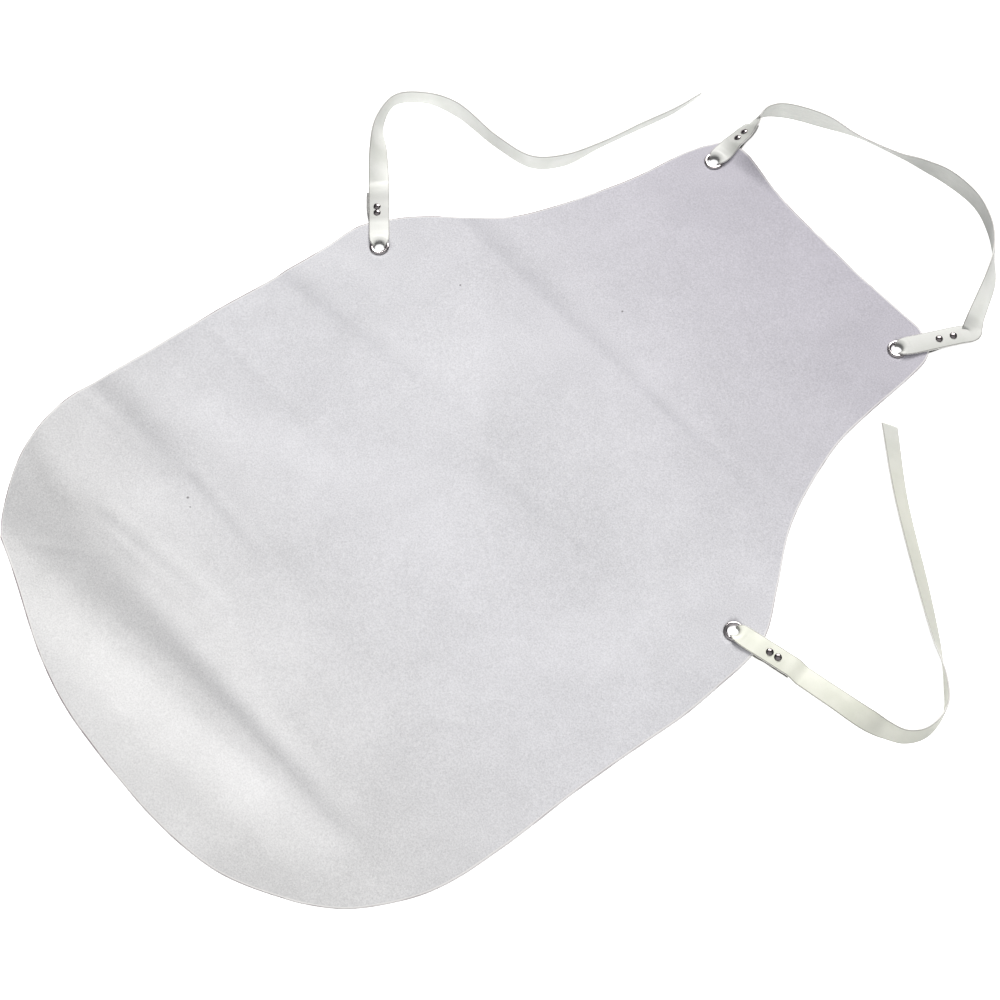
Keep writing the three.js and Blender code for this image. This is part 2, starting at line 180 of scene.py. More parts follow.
splitLeather = {
    "hem": tone(213, 213, 213),
    "skirt": tone(219, 219, 223),
    "bib": tone(193, 190, 199),
    "cutEdge": tone(246, 245, 242),
    # colour of the painted contact shadow along the cut edge
    "brink": tone(124, 108, 114),
    "speck": tone(92, 88, 92),
    # specks: place and radius; shares of the radius between which a speck comes in, and its weight
    "specks": [
        (-152, -236, 1.1), (-142, -240, 0.7), (-186, 120, 0.9),
        (-32, -309, 0.8), (-34, -397, 0.9), (-61, 230, 0.9),
    ],
    "speckHeight": 2, "speckRim": (1.6, 0.6), "speckWeight": 0.75,
    # noises: scale, detail and, where it isn't a half, roughness
    "hideNoise": (7.5, 3.0), "patchNoise": (38, 4.0, 0.55), "grainNoise": (620, 3.0, 0.65),
    "fibreNoise": (1500, 2.0), "brokenNoise": (30, 2.0),
    # where a tone starts and where it is complete, in metres along Y or X
    "toBib": (0.02, 0.5), "toHem": (-0.05, -0.42), "toLeft": (-0.05, -0.32), "toRight": (-0.12, 0.25),
    # how much each lightens or darkens the leather
    "hideTone": 0.25, "patchTone": 0.13, "grainTone": 0.7, "creaseTone": 0.04, "paintedLightShadeTone": 0.14,
    "leftTone": 0.05, "rightTone": 0.02, "rightBibTone": 0.05,
    # pale fibres: range of their noise, weight, and what the bib takes off it
    "fibreRange": (0.56, 0.7), "fibreWeight": 0.55, "fibreBibLess": 0.3,
    # the cut edge: gaps from it in mm between which its pale line and its dark line come in, and their
    # weights; the dark line is a painted contact shadow
    "paleGap": (2.6, 1.3), "paleWeight": 0.75, "darkGap": (1.3, 0.6), "darkWeight": 0.25,
    # the painted shadow line: noise that breaks it, its weight, and how much weaker it is towards the right
    "brokenRange": (0.42, 0.62), "brokenWeight": 0.55, "darkRightLess": 0.5,
    "nap": {"Strength": 0.5, "Distance": 0.0004}, "grainRise": 0.5, "fibreRise": 0.3, "patchRise": 0.5,
    "rough": 0.82, "patchRough": 0.2, "creaseRough": 0.1,
    "fixed": {"Sheen Weight": 0.12, "Sheen Roughness": 0.45, "Specular IOR Level": 0.22},
}


def apronLeather():
    cut = splitLeather
    finish, shader, start = newFinish("apronLeather", cut["fixed"])
    place = start.add("ShaderNodeTexCoord", None, None, "Object")
    hide, patch = place.wave(*cut["hideNoise"]), place.wave(*cut["patchNoise"])
    grain, fibre = place.wave(*cut["grainNoise"]), place.cloud(*cut["fibreNoise"])
    alongX, alongY = (start.add("ShaderNodeSeparateXYZ", None, {0: place}, axis) for axis in "XY")
    crease = start.number("crease")
    toBib, toHem = alongY.within(*cut["toBib"]), alongY.within(*cut["toHem"])
    toLeft, toRight = alongX.within(*cut["toLeft"]), alongX.within(*cut["toRight"])
    shade = 1.0 + hide * cut["hideTone"] + patch * cut["patchTone"] + grain * cut["grainTone"]
    # painted light and shade along the folds' flanks comes in from the panel's bands
    shade = shade - crease * cut["creaseTone"] + start.number("paintedLightShade") * cut["paintedLightShadeTone"]
    shade = shade - toRight * (cut["rightTone"] + cut["rightBibTone"] * toBib) - toLeft * cut["leftTone"]
    colour = toBib.mix(toHem.mix(cut["skirt"], cut["hem"]), cut["bib"]).scaled(shade)
    pale = fibre.within(*cut["fibreRange"]) * (cut["fibreWeight"] - cut["fibreBibLess"] * toBib)
    colour = pale.mix(colour, cut["cutEdge"])
    edgeGap = start.number("edgeGap")
    broken = place.cloud(*cut["brokenNoise"]).within(*cut["brokenRange"])
    colour = (edgeGap.within(*cut["paleGap"]) * cut["paleWeight"]).mix(colour, cut["cutEdge"])
    # painted contact shadow: a broken dark line just inside the cut edge, weaker towards the right
    dark = edgeGap.within(*cut["darkGap"]) * (cut["darkWeight"] + cut["brokenWeight"] * broken)
    colour = (dark * (1.0 - cut["darkRightLess"] * toRight)).mix(colour, cut["brink"])
    for x, y, radius in cut["specks"]:
        spot = (x * mm, y * mm, cut["speckHeight"] * mm)
        away = start.add("ShaderNodeVectorMath", {"operation": "DISTANCE"}, {0: place, 1: spot}, "Value")
        outer, inner = (radius * mm * share for share in cut["speckRim"])
        colour = (away.within(outer, inner) * cut["speckWeight"]).mix(colour, cut["speck"])
    height = grain * cut["grainRise"] + fibre * cut["fibreRise"] + patch * cut["patchRise"]
    nap = start.add("ShaderNodeBump", None, {**cut["nap"], "Height": height})
    rough = cut["rough"] + patch * cut["patchRough"] - crease * cut["creaseRough"]
    feed(shader, {"Base Color": colour, "Roughness": rough, "Normal": nap})
    return finish


strapHide = {
    "front": (tone(231, 233, 226), tone(239, 240, 235)),
    "back": (tone(217, 219, 213), tone(228, 229, 223)),
    "cream": tone(255, 255, 246),
    "edge": tone(248, 247, 243),
    "brink": tone(112, 108, 102),
    "pore": tone(214, 212, 205),
    # noises: scale, detail and, where it isn't a half, roughness; streaks are drawn out along the strap
    "streakScale": (90.0, 900.0, 1.0), "streakNoise": (1.0, 3.0), "patchNoise": (55, 3.0),
    "grainNoise": (900, 3.0, 0.6),
    "patchRange": (0.3, 0.7), "streakShare": 0.6, "grainShare": 0.4, "backRange": (0.35, 0.65),
    # skin runs from -1 on the back over the cut rim to 1 on the front
    "frontSkin": (-0.1, 0.1), "rimBack": (-0.75, -0.5), "rimFront": (0.75, 0.5),
    "poreRange": (0.45, 0.28), "poreWeight": 0.25,
    # dark line beside the rim, in mm from the strap's middle
    "brinkAside": (9.2, 10.1), "brinkWeight": 0.65,
    # where the cream tint comes in, in metres along X
    "creamX": (0.18, 0.28),
    # the rim's pale edge: weight, what the painted light adds to it, and the painted shades between which
    # that comes in
    "rimWeight": 0.3, "rimLitWeight": 0.55, "rimLit": (0.2, 0.6),
    "pores": {"Strength": 0.35, "Distance": 0.0002}, "grainRise": 0.6, "streakRise": 0.25,
    "rough": 0.42, "patchRough": 0.08, "rimRough": 0.25,
    "fixed": {"Specular IOR Level": 0.8},
}


def strapLeather():
    cut = strapHide
    finish, shader, start = newFinish("strapLeather", cut["fixed"])
    place = start.add("ShaderNodeTexCoord", None, None, "Object")
    run = start.add("ShaderNodeUVMap", {"uv_map": "strapRun"})
    drawnOut = start.add("ShaderNodeMapping", None, {"Vector": run, "Scale": cut["streakScale"]})
    streak = drawnOut.cloud(*cut["streakNoise"])
    patch = place.cloud(*cut["patchNoise"]).within(*cut["patchRange"])
    grain = place.cloud(*cut["grainNoise"])
    skin = start.number("skin")
    front = patch.mix(*cut["front"])
    fibres = cut["streakShare"] * streak + cut["grainShare"] * grain
    back = fibres.within(*cut["backRange"]).mix(*cut["back"])
    colour = skin.within(*cut["frontSkin"]).mix(back, front)
    rim = skin.within(*cut["rimBack"]) * skin.within(*cut["rimFront"])
    # shade: painted light and shade along each strap, carried from its rows
    shade = start.number("shade")
    colour = (grain.within(*cut["poreRange"]) * cut["poreWeight"]).mix(colour, cut["pore"])
    aside = start.add("ShaderNodeSeparateXYZ", None, {0: run}, "Y")
    brink = (aside * aside).within(*((reach * mm) ** 2 for reach in cut["brinkAside"]))
    colour = (brink * cut["brinkWeight"]).mix(colour, cut["brink"]).scaled(shade)
    alongX = start.add("ShaderNodeSeparateXYZ", None, {0: place}, "X")
    tint = {"data_type": "RGBA", "blend_type": "MULTIPLY"}
    values = {0: alongX.within(*cut["creamX"]), 6: colour, 7: cut["cream"]}
    colour = start.add("ShaderNodeMix", tint, values, 2)
    # the pale rim shows more where the painted light is stronger
    lit = cut["rimWeight"] + cut["rimLitWeight"] * shade.within(*cut["rimLit"])
    colour = (rim * lit).mix(colour, cut["edge"])
    height = grain * cut["grainRise"] + streak * cut["streakRise"]
    pores = start.add("ShaderNodeBump", None, {**cut["pores"], "Height": height})
    rough = cut["rough"] + patch * cut["patchRough"] + rim * cut["rimRough"]
    feed(shader, {"Base Color": colour, "Roughness": rough, "Normal": pores})
    return finish


nickelPlate = {
    "eyelets": (tone(180, 175, 176), tone(136, 131, 132)),
    "rivets": (tone(136, 130, 131), tone(94, 89, 90)),
    "hazeNoise": (260, 3.0), "hazeRange": (0.3, 0.7), "hazeWear": 0.5,
    "scratchScale": (4200.0, 500.0, 900.0), "scratchNoise": (1.0, 2.0), "scratchRange": (0.55, 0.75),
    "scratchWear": 0.4, "dent": {"Strength": 0.12, "Distance": 0.0001}, "rough": 0.12, "wearRough": 0.16,
    "fixed": {"Metallic": 1.0},
}


def nickelFinish(name):
    cut = nickelPlate
    finish, shader, start = newFinish(name + "Nickel", cut["fixed"])
    place = start.add("ShaderNodeTexCoord", None, None, "Object")
    haze = place.cloud(*cut["hazeNoise"]).within(*cut["hazeRange"])
    drawnOut = start.add("ShaderNodeMapping", None, {"Vector": place, "Scale": cut["scratchScale"]})
    scratch = drawnOut.cloud(*cut["scratchNoise"])
    marks = scratch.within(*cut["scratchRange"])
    wear = (haze * cut["hazeWear"] + marks * cut["scratchWear"]).within(0, 1)
    dent = start.add("ShaderNodeBump", None, {**cut["dent"], "Height": scratch})
    rough = cut["rough"] + wear * cut["wearRough"]
    feed(shader, {"Base Color": wear.mix(*cut[name]), "Roughness": rough, "Normal": dent})
    return finish


panelFinish, strapFinish = apronLeather(), strapLeather()
eyeletFinish, rivetFinish = nickelFinish("eyelets"), nickelFinish("rivets")
print("finishes made")

# Where each strap is looped: eyelet centre, direction the strap leaves it, distances along it of the
# panel's edge, the two rivets and the end of the short piece, roll of the doubled strap at the outer rivet,
# rivets' and short piece's offset to the strap's left, painted light and shade of the strap over the panel
# and past its edge
loops = {
    "bib_left": {"x": -145, "y": 421.5, "heading": 98, "edge": 30, "inner": 37, "outer": 47.5, "end": 61,
                 "roll": -25, "aside": 0, "tailAside": -0.4, "shade": (0.66, 0.6)},
    "bib_right": {"x": 143, "y": 417, "heading": 67.3, "edge": 33, "inner": 44, "outer": 59, "end": 78,
                  "roll": 0, "aside": 0, "tailAside": 0.8, "shade": (0.72, 0.72)},
    "waist_left": {"x": -272.5, "y": 82, "heading": 144, "edge": 35, "inner": 41, "outer": 49, "end": 69,
                   "roll": 0, "aside": 2, "tailAside": 2.4, "shade": (0.9, 0.6)},
    "waist_right": {"x": 279.5, "y": 87, "heading": 17.7, "edge": 32, "inner": 39, "outer": 48, "end": 65,
                    "roll": 0, "aside": 0, "tailAside": -0.9, "shade": (1.12, 1.03)},
}
eyelet = {
    "hole": 6.2, "barrel": 7.1, "rim": 10.2, "back": 9.4, "crest": 2.2, "shoulder": 1.0, "square": 0.75,
    "sides": 72, "rimStep": 12, "spinSeed": 3, "lean": 0.015,
    # below the rolled rim: named radius, what is added to it, height
    "under": [
        ("hole", 0, -1.2), ("hole", 0.2, -1.55), ("hole", 0.8, -1.9),
        ("back", -0.7, -1.85), ("back", 0, -1.45), ("back", 0, -1.05),
        ("barrel", 0, -1.05), ("barrel", 0, 0.95), ("rim", -0.15, 0.9),
    ],
}
eyeletHeight = 4.1  # of the leather's middle at an eyelet
rivet = {
    "head": 3.8, "dome": 1.7, "post": 1.4, "back": 3.2, "backThick": 0.55, "seat": 0.25, "sides": 40,
    "spread": 0.95,  # from the middle between the strap's two layers to the middle of each
    "backInset": 0.4, "backLip": 0.15, "headInset": 0.1, "headLip": 0.12,
    "domeShare": 0.985, "domeFoot": 0.3, "domeStep": 9, "spinSeed": 8, "lean": 0.03,
}
sharpTurn = 38  # degrees between faces, above which an edge of the hardware looks sharp
edgeRoll = 0.68  # share of the roll that is reached at the panel's edge
edgePower = 1.5  # how late the roll comes on the way there
endRoll = 1.9  # share of it at the end of the short piece
lift = {"height": 3.35, "run": 30, "plateau": 30, "fall": 70, "tiltWide": 26}
strapCut = {
    "wide": 21, "thick": 1.6, "step": 2.0, "round": 0.45, "columns": 18, "cup": 0.3, "turnSteps": 4,
    "slideFrom": 8,  # how far before the panel's edge the short piece starts to shift aside
    "rimAngles": (60, 30, 0), "tip": 0.5,  # of the rounded edges, and how far the ends are drawn in
    # painted shade on the short piece under the front layer, painted shade down inside the eyelet's hole,
    # and rises between which that one goes
    "tailShade": 0.5, "holeShade": 0.2, "holeRise": (1.7, 3.3),
}


def loopAxes(loop):
    turn = math.radians(loop["heading"])
    out = np.array([math.cos(turn), math.sin(turn), 0.0])
    return out, np.cross(up, out), np.array([loop["x"], loop["y"], 0.0])


def rollAt(loop, reach):
    toEdge = np.clip((reach - eyelet["rim"]) / (loop["edge"] - eyelet["rim"]), 0, 1)
    toOuter = np.clip((reach - loop["edge"]) / (loop["outer"] - loop["edge"]), 0, 1)
    clear = loop["outer"] + rivet["head"]
    toEnd = np.clip((reach - clear) / (loop["end"] - clear), 0, 1)
    share = edgeRoll * toEdge**edgePower + (1 - edgeRoll) * toOuter + (endRoll - 1) * toEnd
    return math.radians(loop["roll"]) * share


# The panel: rows of side, half, mid and lean from bib to hem, as the part is cut
apronCut = {
    "sections": [
        (452, 136, 448, 0), (445, 159, 438, 0), (433.5, 166.5, 430, 2), (405, 174, 403, 1),
        (346, 180.5, 346, -1), (298, 190, 298, -2.5), (249, 206, 249, -1), (201, 228, 201, 1),
        (153, 267, 153, 0), (112, 296, 112, 3), (81, 308, 81, 1.5), (40, 310, 40, 4),
        (-20, 312, -20, 3.5), (-100, 313, -100, 0), (-215, 314.5, -215, 0), (-262, 314.2, -268, -1.7),
        (-305, 303.2, -320, -0.2), (-353, 277.5, -377, 0.7), (-385, 248, -417, -0.2), (-402, 225, -450, 0),
    ],
    "bow": 2.2, "skew": 7, "skewFrom": 300, "skewTo": 450, "thick": 1.5, "columns": 176, "rows": 258,
    "sideShare": 0.6, "midShare": 0.4,  # weights of the edge and the middle in how rows are spaced
    "waver": 0.7, "waverSize": 46, "waverSeeds": (11.5, 23.5), "hole": 8.4, "round": 0.45,
    "rim": [(0.13, 0.13), (0.0, 0.45), (0.0, 1.05), (0.13, 1.37)],  # inset, drop below the face
    # folds: crest from x, y to x, y, rise at both ends, flank on the bib side and on the hem side, and the
    # share of those flanks that is left at the far end
    "folds": [
        (-320, -336, 190, -310, 12, 1.4, 120, 72, 0.2), (-320, -480, 190, -386, 9, 3.5, 72, 140, 0.85),
        (-330, -217, -60, -200, 3.2, 0.5, 60, 28, 1), (-320, -4, -120, 30, 2.4, 0.4, 60, 28, 1),
        (-260, 188, 60, 198, 3, 0.6, 60, 24, 0.6),
    ],
    "fade": 60,
    # bands of painted light, and of painted shade where the rise is negative, along the folds' flanks and
    # over the skirt; the same columns
    "paintedLightShade": [
        (-280, -434, 200, -342, 0.5, 0.85, 44, 100, 0.8),
        (-100, -399.5, 120, -357.5, 0.75, 1.0, 44, 90, 0.9),
        (-60, -440, 130, -440, 0.4, 1.3, 60, 40, 1), (-80, -285, 130, -248, 0.65, 0.65, 90, 80, 1),
        (-80, -322, 110, -312, 0.6, 0.5, 20, 16, 1), (-290, -328, -190, -343, -0.9, -0.2, 26, 16, 1),
        (-310, -234, -180, -222, -0.5, -0.1, 28, 22, 1), (-264, -318, -140, -249, 0.5, 0.5, 45, 45, 1),
        (-220, -168, -112, -118, 0.6, 0.5, 50, 45, 1), (-30, 50, 150, 20, -0.4, -0.4, 130, 120, 1),
    ],
    # fine creases, the same columns
    "creases": [
        (-180, -306, -40, -277, 1.3, 0.5, 18, 9, 0.8), (-165, -216, -70, -215, 1.1, 0.5, 14, 8, 1),
        (-308, -229, -178, -219, 0.8, 0.3, 40, 22, 1),
        (30, 192, 176, 204, 0.6, 0.3, 14, 8, 1), (182, -184, 220, -147, 0.5, 0.2, 5, 8, 1),
        (-187, -370, -156, -344, 0.7, 0.3, 5, 7, 1), (-296, -252, -190, -236, 0.7, 0.3, 14, 10, 1),
        (-20, 16, 120, 30, 0.45, 0.2, 16, 10, 1), (-280, -110, -120, -94, 0.5, 0.2, 18, 10, 1),
        (-150, -318, -80, -306, 0.7, 0.35, 9, 6, 1), (-304, -9, -100, 28, 0.7, 0.35, 24, 10, 0.9),
    ],
    "creaseFade": 25,
    # tone of a fold and of a crease at both ends, and the share of its width that is toned
    "foldTone": (1, 0.4), "foldNarrow": 0.22, "creaseTone": (0.7, 0.3), "creaseNarrow": 0.5,
    "swell": [(150, 0.9, 3.1), (58, 0.3, 7.7), (21, 0.07, 5.3)],  # lumps: size, height, seed
}


taperedBy = 0.9  # share of a fold's length at which its flanks are as narrow as they get


def ridges(x, y, rows, fade, narrow=1.0):
    total = np.zeros_like(x)
    for fromX, fromY, toX, toY, startRise, endRise, bib, hem, taper in rows:
        along = (x - fromX) / (toX - fromX)
        crest = fromY + (toY - fromY) * along
        past = np.maximum(np.maximum(fromX - x, x - toX), 0)
        along = np.clip(along, 0, 1)
        rise = (startRise + (endRise - startRise) * along) * bump(past / fade)
        flank = np.where(y > crest, bib, hem) * narrow * (1 + (taper - 1) * ease(along, 0, taperedBy))
        total += rise * bump(np.abs(y - crest) / flank)
    return total


def loopLift(x, y, loop):
    out, left, centre = loopAxes(loop)
    gapX, gapY = x - centre[0], y - centre[1]
    along = np.clip(gapX * out[0] + gapY * out[1], 0, lift["run"])
    aside = np.clip(gapX * left[0] + gapY * left[1], -lift["tiltWide"], lift["tiltWide"])
    roll = rollAt(loop, along)
    tilt = strapCut["wide"] / 2 * np.abs(np.sin(roll)) + aside * np.tan(roll)
    away = np.hypot(gapX - along * out[0], gapY - along * out[1])
    return np.maximum(lift["height"] + tilt, 0) * bump((away - lift["plateau"]) / lift["fall"])


def undersideAt(x, y):
    cut = apronCut
    lifts = np.max([loopLift(x, y, loop) for loop in loops.values()], axis=0)
    swell = sum(h * (0.5 + 0.5 * cloudAt(x, y, size, seed)) for size, h, seed in cut["swell"])
    calm = 1 - np.clip(lifts / lift["height"], 0, 1)
    folds = ridges(x, y, cut["folds"], cut["fade"]) + ridges(x, y, cut["creases"], cut["creaseFade"])
    return np.maximum(folds, 0) + lifts + np.maximum(swell, 0) * calm


manyPoints = 4000  # of a finely divided line, and of a block worked on at a time


def toned(rows, ends):
    # the same folds with other rises at both ends
    return [row[:4] + ends + row[6:] for row in rows]


def buildPanel():
    cut = apronCut
    table = np.array(cut["sections"], float)
    dense = np.linspace(0, len(table) - 1, manyPoints)
    side, half, mid = throughPoints(table[:, :3], dense).T
    edgeRun, midRun = np.hypot(np.diff(side), np.diff(half)), np.abs(np.diff(mid))
    run = np.r_[0, np.cumsum(cut["sideShare"] * edgeRun + cut["midShare"] * midRun)]
    stations = np.interp(np.linspace(0, run[-1], cut["rows"] + 1), run, dense)
    side, half, mid = throughPoints(table[:, :3], stations).T[:, :, None]
    lean = throughPoints(table[:, 3:], stations, even=True)
    share = np.linspace(-1, 1, cut["columns"] + 1)[None, :]
    bow = np.abs(share) ** cut["bow"]
    skew = cut["skew"] * ease(-mid, cut["skewFrom"], cut["skewTo"])
    x = lean + share * half
    y = mid + (side - mid) * bow - skew * np.sin(np.pi * bow) * np.sign(share)
    x = x + cut["waver"] * cloudAt(x, y, cut["waverSize"], cut["waverSeeds"][0])
    y = y + cut["waver"] * cloudAt(x, y, cut["waverSize"], cut["waverSeeds"][1])

    # outer ring of vertices, anticlockwise seen from above
    tall, wide = x.shape
    number = np.arange(tall * wide).reshape(tall, wide)
    ring = np.r_[number[0, ::-1], number[1:, 0], number[-1, 1:], number[-2:0:-1, -1]]
    x, y = x.ravel(), y.ravel()
    ringXY = np.c_[x[ring], y[ring]]
    tangent = unit(np.roll(ringXY, -1, 0) - np.roll(ringXY, 1, 0))
    outward = np.c_[tangent[:, 1], -tangent[:, 0]]
    edgeGap = np.empty(len(x))
    for k in range(0, len(x), manyPoints):
        block = slice(k, k + manyPoints)
        gaps = np.hypot(x[block, None] - ringXY[:, 0], y[block, None] - ringXY[:, 1])
        edgeGap[block] = gaps.min(1)
    x[ring] -= outward[:, 0] * cut["round"]
    y[ring] -= outward[:, 1] * cut["round"]

    # eyelet holes: faces that reach inside go, and what bounds them is drawn onto a circle
    a, b, c, d = number[:-1, :-1], number[1:, :-1], number[1:, 1:], number[:-1, 1:]
    quads = np.stack([a, b, c, d], -1).reshape(-1, 4)
    for loop in loops.values():
        away = np.hypot(x - loop["x"], y - loop["y"])
        gone = (away[quads] < cut["hole"]).any(1)
        bound = np.intersect1d(quads[gone], quads[~gone])
        x[bound] = loop["x"] + (x[bound] - loop["x"]) * cut["hole"] / away[bound]
        y[bound] = loop["y"] + (y[bound] - loop["y"]) * cut["hole"] / away[bound]
        quads = quads[~gone]
    z = undersideAt(x, y)
    count = len(x)
    sides = {}
    for quad in quads.tolist():
        for p, q in zip(quad, quad[1:] + quad[:1]):
            sides[(p, q)] = True
    outer = set(ring.tolist())
    holeSides = [(p, q) for p, q in sides if (q, p) not in sides and not (p in outer and q in outer)]

    # top, bottom, and a rounded rim of rings between them
    top, low = np.c_[x, y, z + cut["thick"]], np.c_[x, y, z]
    rims = []
    for inset, drop in cut["rim"]:
        rims.append(np.c_[ringXY - outward * inset, z[ring] + cut["thick"] - drop])
    vertices = np.vstack([top, low, *rims])
    faces = quads.tolist() + (quads[:, ::-1] + count).tolist()
    rimRows = 2 * count + np.arange(len(rims) * len(ring)).reshape(len(rims), len(ring))
    bands = [ring, *rimRows, ring + count]
    for above, below in zip(bands, bands[1:]):
        strip = np.stack([np.roll(above, -1), above, below, np.roll(below, -1)], 1)
        faces += strip.tolist()
    faces += [(q, p, p + count, q + count) for p, q in holeSides]
    used = np.zeros(len(vertices), bool)
    used[np.concatenate([np.ravel(f) for f in faces])] = True
    renumber = np.cumsum(used) - 1
    faces = [[int(renumber[v]) for v in face] for face in faces]
    piece = makePiece("apronPanel", vertices[used], faces, panelFinish)
    crease = ridges(x, y, toned(cut["folds"], cut["foldTone"]), cut["fade"], cut["foldNarrow"])
    fine = toned(cut["creases"], cut["creaseTone"])
    crease += ridges(x, y, fine, cut["creaseFade"], cut["creaseNarrow"])
    crease = np.clip(np.r_[crease, crease, np.tile(crease[ring], len(rims))], 0, 1)
    gap = np.r_[edgeGap, edgeGap, np.zeros(len(rims) * len(ring))]
    # painted light and shade: bands along the folds' flanks
    paintedLightShade = ridges(x, y, cut["paintedLightShade"], cut["fade"])
    addNumber(piece, "crease", crease[used])
    addNumber(piece, "paintedLightShade", np.r_[paintedLightShade, paintedLightShade, np.tile(paintedLightShade[ring], len(rims))][used])
    addNumber(piece, "edgeGap", gap[used])
    flat = (ringXY.max(0) - ringXY.min(0)) * mm
    ahead = np.roll(ringXY, -1, 0)
    area = 0.5 * abs(np.sum(ringXY[:, 0] * ahead[:, 1] - ahead[:, 0] * ringXY[:, 1]))
    return piece, flat, area * mm * mm


apronPanel, panelFlat, panelArea = buildPanel()
print("panel:", len(apronPanel.data.polygons), "faces, cut", panelFlat, "area", round(panelArea, 4))

# The strap's turn through an eyelet, from under the leather to its front: distance from the eyelet's axis,
# how far round it the strap's edges reach in degrees, height above the leather's middle
turnRows = [
    (10.4, 60, -3.05), (8.2, 74, -3.0), (6.1, 92, -2.5), (5.4, 98, -1.4), (5.35, 100, 0.2), (5.4, 98, 1.5),
    (6.0, 93, 2.6), (8.1, 76, 3.2), (10.4, 63, 3.4),
]
# The two layers beyond the eyelet: named distance and how far past it, heights of the front and back layer
layerRows = [
    ("eye", 13, 7.05, 1.05), ("eye", 17.5, 6.5, 1.05), ("edge", -7, 6.3, 1.15), ("edge", 0, 6.1, 1.75),
    ("inner", 0, 5.75, 3.85), ("outer", 0, 5.3, 3.4), ("outer", 8, 4.7, 2.8), ("end", 0, 4.1, 2.2),
]
shares = np.linspace(-1, 1, strapCut["columns"] + 1)


def layersAt(loop, row):
    # places of the front and the back layer on one row, across the strap and out of its face
    name, past, front, back = row
    out, left, centre = loopAxes(loop)
    reach = loop.get(name, 0) + past
    roll = float(rollAt(loop, reach))
    across = left * math.cos(roll) + up * math.sin(roll)
    normal = np.cross(out, across)
    base = centre + out * reach + up * ((front + back) / 2 + strapCut["wide"] / 2 * abs(math.sin(roll)))
    spread = normal * (front - back) / 2
    shifted = ease(reach, loop["edge"] - strapCut["slideFrom"], loop["outer"])
    slide = across * loop["tailAside"] * float(shifted)
    return base + spread, base - spread + slide, across, normal


# painted light and shade of a loop's strap, over the panel or past its edge
def shadeAt(loop, row):
    return loop["shade"][0 if row[0] == "eye" or row[1] < 0 else 1]


def frontRows(loop):
    return [layersAt(loop, row)[0:3:2] + (False, shadeAt(loop, row)) for row in layerRows]


def tailRows(loop):
    # the short piece under the front layer, from its end to the eyelet
    # painted shade: the short piece lies under the front layer
    shaded = strapCut["tailShade"]
    return [layersAt(loop, row)[1:3] + (False, shadeAt(loop, row) * shaded) for row in layerRows[::-1]]


def turnGrid(loop):
    # middle surface from the back layer up through the eyelet to the front layer
    out, left, centre = loopAxes(loop)
    half = strapCut["wide"] / 2
    near = [layersAt(loop, row) for row in layerRows[:2]]
    rows = [spot[1] + np.outer(shares * half, spot[2]) for spot in near[::-1]]
    for radius, spread, rise in turnRows:
        angle = np.radians(spread) * shares
        ring = np.outer(np.cos(angle), out) + np.outer(np.sin(angle), left)
        rows.append(centre + radius * ring + up * (eyeletHeight + rise))
    rows += [spot[0] + np.outer(shares * half, spot[2]) for spot in near]
    # painted shade: the strap darkens as it goes down into the eyelet's hole
    dim = strapCut["holeShade"]
    shades = [strapCut["tailShade"]] * len(near)
    shades += [dim + (1 - dim) * ease(rise, *strapCut["holeRise"]) for radius, spread, rise in turnRows]
    shades += [1.0] * len(near)
    stations = np.arange(1, len(rows) - 2 + tiny, 1 / strapCut["turnSteps"])
    grid = throughPoints(np.array(rows).reshape(len(rows), -1), stations)
    grid = grid.reshape(len(stations), len(shares), 3)
    return grid, loop["shade"][0] * np.interp(stations, np.arange(len(rows)), shades)


def freeRows(table):
    plan = np.c_[np.array(table, float)[:, :2], np.zeros(len(table))]
    last = len(table) - 1
    step = 1e-4 * last
    stations = np.arange(len(table))
    ahead, behind = np.minimum(stations + step, last), np.maximum(stations - step, 0)
    along = unit(throughPoints(plan, ahead) - throughPoints(plan, behind))
    rows = []
    for (x, y, bank, shade), forward in zip(table, along):
        turn = math.radians(bank)
        across = np.cross(up, forward) * math.cos(turn) + up * math.sin(turn)
        height = (strapCut["wide"] * abs(math.sin(turn)) + strapCut["thick"] * abs(math.cos(turn))) / 2
        rows.append((np.array([x, y, height]), across, True, shade))
    return rows


def turnRound(rows):
    return [(place, -across, free, shade) for place, across, free, shade in rows[::-1]]


def sweepGrid(rows, cup):
    # middle surface through rows of place, across, whether the strap lies free on the floor, and painted
    # light and shade
    at = np.array([row[0] for row in rows])
    lean = np.array([row[1] for row in rows])
    free = np.array([row[2] for row in rows])
    stations = []
    for i in range(len(rows) - 1):
        steps = max(2, round(np.linalg.norm(at[i + 1] - at[i]) / strapCut["step"]))
        stations += [i + k / steps for k in range(steps)]
    last, small = len(rows) - 1, 1e-3
    stations = np.array(stations + [last])
    place = throughPoints(at, stations)
    ahead, behind = np.minimum(stations + small, last), np.maximum(stations - small, 0)
    along = unit(throughPoints(at, ahead) - throughPoints(at, behind))
    across = throughPoints(lean, stations, even=True)
    across = unit(across - along * (across * along).sum(1, keepdims=True))
    normal = np.cross(along, across)
    spot = np.minimum(np.floor(stations).astype(int), last - 1)
    rest = (strapCut["wide"] * np.abs(across[:, 2]) + strapCut["thick"] * np.abs(normal[:, 2])) / 2
    both, either = free[spot] & free[spot + 1], free[spot] | free[spot + 1]
    place[:, 2] = np.where(both, rest, np.where(either, np.maximum(place[:, 2], rest), place[:, 2]))
    half = strapCut["wide"] / 2
    arch = cup * (1 - shares**2)
    grid = place[:, None] + across[:, None] * (shares * half)[:, None] + normal[:, None] * arch[:, None]
    return grid, np.interp(stations, np.arange(len(rows)), [row[3] for row in rows])
